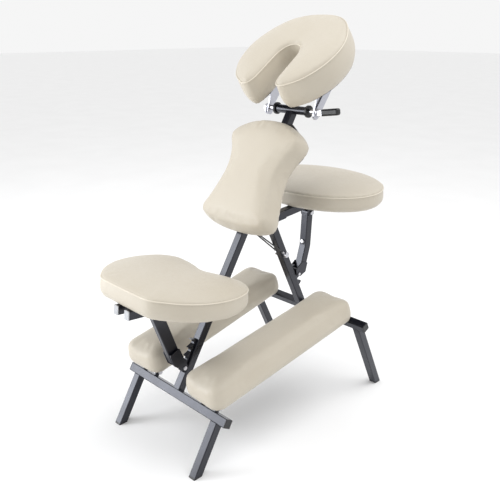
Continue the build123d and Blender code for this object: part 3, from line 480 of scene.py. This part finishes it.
def side_shift(height, ridge, low_in, ridge_in):
    """How far the side wall stands in from the outline: pulled in below and again at the seam, none at FULLEST."""
    t = np.clip(height / ridge, 0, 1.3)
    below = low_in * (1 - np.sin(np.clip(t / FULLEST, 0, 1) * math.pi / 2)) ** 1.2
    above = ridge_in * np.clip((t - FULLEST) / (1 - FULLEST), 0, 1) ** 2
    return np.where(t < FULLEST, below, above)


def clear_plate(obj, plate):
    """Lifts the underside above a thin trapezium plate, with a margin of a few millimetres round it."""
    wide, narrow, y0, y1, thick = plate
    co = coords(obj) / MM
    along = np.clip((co[:, 1] - y0) / (y1 - y0), 0, 1)
    inside = (np.abs(co[:, 0]) < wide + (narrow - wide) * along + PLATE_ROUND) & (co[:, 1] > y0 - PLATE_ROUND)
    co[:, 2] = np.where(inside, np.maximum(co[:, 2], thick + PLATE_OVER), co[:, 2])
    set_coords(obj, co * MM)


def make_cushion(name, line, board_line, board, ridge, crown, matrix, body, node, reach=70.0, voxel=5.0, low_in=9.0,
                 ridge_in=2.5, dips=(), seam=True, plate=None):
    """Upholstered pad round its board: the cover wraps the board's edge, rises to a seam and closes over a crown.

    line and board_line are outlines in millimetres in the pad's frame, whose Z = 0 is the board's underside.
    ridge is the seam's height and crown the rise of the middle above it. plate is (half width at the bottom, half width
    at the top, bottom y, top y, thickness) of a thin plate that the underside has to clear."""
    n = normals(line)
    bn = normals(board_line)
    obj = cushion_block(name, (line - n * COVER_UNDER) * MM, ridge * MM, (board_line + bn * BOARD_GAP) * MM,
                        (board + POCKET_GAP) * MM)
    apply(obj, "REMESH", mode="VOXEL", voxel_size=voxel * MM, use_smooth_shade=True)
    apply(obj, "SMOOTH", factor=0.5, iterations=2)
    co = coords(obj) / MM
    edge = distance_inside(co[:, :2], line)
    near = np.linalg.norm(co[:, None, :2] - line[None, ::3], axis=2).argmin(1) * 3
    top = co[:, 2] > ridge - TOP_BAND
    level = np.clip((co[:, 2] - (ridge - TOP_BAND)) / TOP_BLEND, 0, 1)
    rise = crown * np.sqrt(np.clip(1 - (1 - np.clip(edge / reach, 0, 1)) ** 2, 0, 1))
    height = co[:, 2].copy()
    co[:, 2] += np.where(top, (rise + 1.0) * level, 0)
    outer = np.clip(1 - edge / SIDE_DEPTH, 0, 1)
    co[:, :2] -= n[near] * (side_shift(height, ridge, low_in, ridge_in) * outer ** 0.5)[:, None]
    for (cx, cy), (rx, ry), depth in dips:
        d = ((co[:, 0] - cx) / rx) ** 2 + ((co[:, 1] - cy) / ry) ** 2
        co[:, 2] -= np.where(top, depth * np.exp(-d), 0)
    set_coords(obj, co * MM)
    held = (co[:, 2] < board + 5) & (edge > 4)
    at_seam = (edge < 6.0) & (np.abs(height - ridge) < 5)
    swell(obj, held | (co[:, 2] < 5) | (at_seam & seam), CLOTH_CAP)
    apply(obj, "SMOOTH", factor=0.4, iterations=2)
    if plate:
        clear_plate(obj, plate)
    apply(obj, "SUBSURF", levels=1, render_levels=1)
    obj.data.transform(matrix)
    obj.data.materials.append(MATERIALS["cream_vinyl"])
    smooth_shade(obj)
    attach(obj, body)
    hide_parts(node)
    if seam:
        ring = line - n * (ridge_in + 0.6)
        centre = [(matrix @ Vector((x * MM, y * MM, (ridge + 0.2) * MM)))[:] for x, y in ring]
        piping = tube_mesh(name + "_piping", centre, SEAM_RADIUS * MM)
        # Lighter piping colour: a painted highlight along the seam ridge.
        piping.data.materials.append(SEAM_PIPING_PAINTED_HIGHLIGHT)
        smooth_shade(piping)
        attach(piping, body)
    return obj


SEAT_OUTLINE = [(0, 278), (56, 293), (100, 301), (144, 301), (190, 273), (214, 228), (222, 174), (211, 114), (183, 66),
                (148, 32), (108, 5), (55, 0), (0, 0)]
CHEST_OUTLINE = [(0, 83), (45, 80), (88, 66), (121, 47), (138, 26), (137, 4), (122, -27), (111, -62), (110, -98),
                 (119, -145), (131, -190), (139, -218), (132, -240), (104, -254), (55, -262), (0, -264)]
FACE_OUTLINE = [(0, 104), (57, 98), (100, 80), (133, 50), (158, 12), (174, -28), (179, -70), (172, -118), (152, -162),
                (126, -196), (100, -214), (74, -226), (54, -221), (42, -198), (39, -158), (38, -112), (34, -74),
                (20, -52), (0, -45)]
BASE_OUTLINE = [(0, 92), (53, 86), (93, 69), (122, 42), (146, 7), (161, -32), (165, -72), (159, -115), (141, -154),
                (118, -182), (96, -198), (76, -206), (64, -200), (54, -180), (52, -140), (51, -105), (45, -66),
                (26, -41), (0, -33)]


def inset(points, by):
    """Outline points pulled toward the outline's middle."""
    mid = sum(y for _, y in points) / len(points)
    out = []
    for x, y in points:
        k = 1 - by / math.hypot(x, y - mid)
        out.append((x * k, mid + (y - mid) * k))
    return out


def pad_lines(points, by, count):
    """Outline of a pad and of the board in it."""
    full = both_halves(points)
    return closed_curve(full, count), closed_curve(inset(full, by), count)


def cushions():
    seat = tilted(SEAT_BACK, -SEAT_TILT) @ Matrix.Translation(Vector((0, -2.5, HALF_TUBE)) * MM)
    line, board = pad_lines(SEAT_OUTLINE, 18, 320)
    make_cushion("seat_pad", line, board, 10.5, 51, 16.5, seat, "seat", "seat_cushion", reach=105)

    chest_u = (CHEST_CENTRE - BAR).dot(MAST_U)
    chest = place(BAR + MAST_U * chest_u - MAST_V * HALF_TUBE, MAST_U, -MAST_V)
    line, board = pad_lines(CHEST_OUTLINE, 15, 280)
    make_cushion("chest_pad", line, board, 12, 57, 15, chest, "mast_frame", "chest_cushion", reach=75, low_in=5,
                 ridge_in=8, dips=[((30, -235), (42, 6), 2.5)], seam=False, plate=(104, 40, 50, 91, 6))

    along = (ARM_PAD_Y - ARM_PIVOT.y) / math.cos(math.radians(ARM_TILT))
    arm = tilted(ARM_PIVOT, ARM_TILT) @ Matrix.Translation(Vector((0, along, HALF_TUBE)) * MM)
    make_cushion("arm_pad", ellipse(243, 148), ellipse(223, 128), 10, 50, 17, arm, "arm_rest", "arm_cushion", reach=95,
                 low_in=16, ridge_in=1)

    for sign, name in ((1, "right"), (-1, "left")):
        toe = -sign * math.degrees(math.atan2(KNEEL_SPREAD, KNEEL_LENGTH))
        start = Vector((sign * KNEEL_X, KNEEL_START_Y, KNEEL_START_Z))
        pad = tilted(start, KNEEL_SLOPE, toe) @ Matrix.Translation(Vector((0, KNEEL_LENGTH / 2, 0)) * MM)
        line, board = rounded_rectangle(156, KNEEL_LENGTH, 38, 300), rounded_rectangle(128, KNEEL_LENGTH - 28, 26, 300)
        make_cushion("kneel_pad_" + name, line, board, 12, 52, 20, pad, "kneel_" + name, "kneel_cushion_" + name,
                     reach=62, low_in=7, ridge_in=4, seam=False)

    head = tilted(HEAD_PIVOT, HEAD_TILT) @ Matrix.Translation(Vector((6, 151, 68.6)) * MM)
    line = closed_curve(both_halves(FACE_OUTLINE), 420)
    board = closed_curve(both_halves(BASE_OUTLINE), 420)
    make_cushion("face_pad", line, board, 10, 84, 13, head, "head_rest", "head_cushion", reach=50, low_in=11,
                 ridge_in=4, seam=True)


cushions()


# ---------------------------------------------------------------- limit cable
CABLE_DIAMETER = 4.5
BOLT_S = 231.0  # the lugs' bolt, along the strut
EYE_U, EYE_V = 529.0, 38.5  # the ring's middle, along the mast and behind it


def cable():
    """The cable, taut at rest: from one lug, through the eye's ring and back to the other lug."""
    strut = Vector((0, -math.sin(REAR_LEAN), math.cos(REAR_LEAN)))
    rear = Vector((0, REAR_FOOT_Y - REAR_LEG_LENGTH * math.sin(REAR_LEAN), REAR_LEG_LENGTH * math.cos(REAR_LEAN)))
    bolt = rear + BOLT_S * strut
    ring = BAR + MAST_U * EYE_U + MAST_V * EYE_V
    run = (ring - bolt).normalized()
    start = bolt + run * 22 + X * 16.3
    near_ring = ring - run * 27 + X * 7.0
    turn = ring + run * 6.2 + X * 6.0
    half = [start, near_ring, turn]
    points = half + [p - 2 * p.x * X for p in reversed(half)]
    route = bpy.data.curves.new("cable_route", "CURVE")
    route.dimensions = "3D"
    spline = route.splines.new("NURBS")
    spline.points.add(len(points) - 1)
    for p, q in zip(spline.points, points):
        p.co = (*(q * MM), 1.0)
    spline.order_u = 3
    spline.use_endpoint_u = True
    spline.resolution_u = 10
    guide = add_object("cable_route", route)
    bpy.context.view_layer.update()
    line = bpy.data.meshes.new_from_object(guide.evaluated_get(bpy.context.evaluated_depsgraph_get()))
    path = [v.co.copy() for v in line.vertices]
    bpy.data.objects.remove(guide)
    obj = open_tube("cable", path, CABLE_DIAMETER / 2 * MM)
    obj.data.materials.append(MATERIALS["cable_black"])
    smooth_shade(obj)
    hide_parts("limit_cable")
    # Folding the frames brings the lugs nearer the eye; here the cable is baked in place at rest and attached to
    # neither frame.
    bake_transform(obj)


cable()


# ---------------------------------------------------------------- stage, light and camera
def stage():
    bpy.ops.mesh.primitive_plane_add(size=60, location=(0, 0, 0))
    floor = bpy.context.object
    floor.name = "floor"
    mat, tree, bsdf = new_material("floor_paper")
    soft = noise_node(tree, 3.0, 2.0)
    tone = ramp(tree, soft.outputs["Fac"], [(0.3, (0.92, 0.92, 0.92)), (0.7, (0.94, 0.94, 0.94))])
    link(tree, tone, bsdf.inputs["Base Color"])
    bsdf.inputs["Roughness"].default_value = 0.9
    bsdf.inputs["Specular IOR Level"].default_value = 0.1
    floor.data.materials.append(mat)


def area_light(name, location, target, size, power, size_y=None, colour=(1, 1, 1)):
    data = bpy.data.lights.new(name, "AREA")
    data.energy = power
    data.size = size
    data.color = colour
    if size_y:
        data.shape = "RECTANGLE"
        data.size_y = size_y
    obj = add_object(name, data)
    obj.location = location
    obj.rotation_euler = (Vector(target) - Vector(location)).to_track_quat("-Z", "Y").to_euler()


def lights():
    world = bpy.data.worlds.new("studio")
    bpy.context.scene.world = world
    world.use_nodes = True
    back = world.node_tree.nodes["Background"]
    back.inputs["Color"].default_value = (1.0, 1.0, 1.0, 1.0)
    back.inputs["Strength"].default_value = 0.92
    # A tall softbox to the seat's left front, which the tubes' front faces reflect, and an overhead key.
    area_light("front_left", location=(-1.95, -2.2, 1.15), target=(0.05, -0.2, 0.35), size=1.3, power=60, size_y=2.2,
               colour=(0.95, 0.97, 1.0))
    area_light("overhead", location=(0.9, 0.7, 3.0), target=(0, 0.1, 0.5), size=2.2, power=36)


def camera():
    data = bpy.data.cameras.new("camera")
    data.lens = 45.29
    data.sensor_width = 36.0
    data.clip_end = 200.0
    obj = add_object("camera", data)
    obj.location = (1.2836, -1.2664, 1.1506)
    az, pitch = math.radians(45.2), math.radians(19.4)
    look = Vector((-math.sin(az) * math.cos(pitch), math.cos(az) * math.cos(pitch), -math.sin(pitch)))
    obj.rotation_euler = look.to_track_quat("-Z", "Y").to_euler()
    bpy.context.scene.camera = obj


stage()
lights()
camera()
bpy.context.scene.view_settings.view_transform = "Standard"
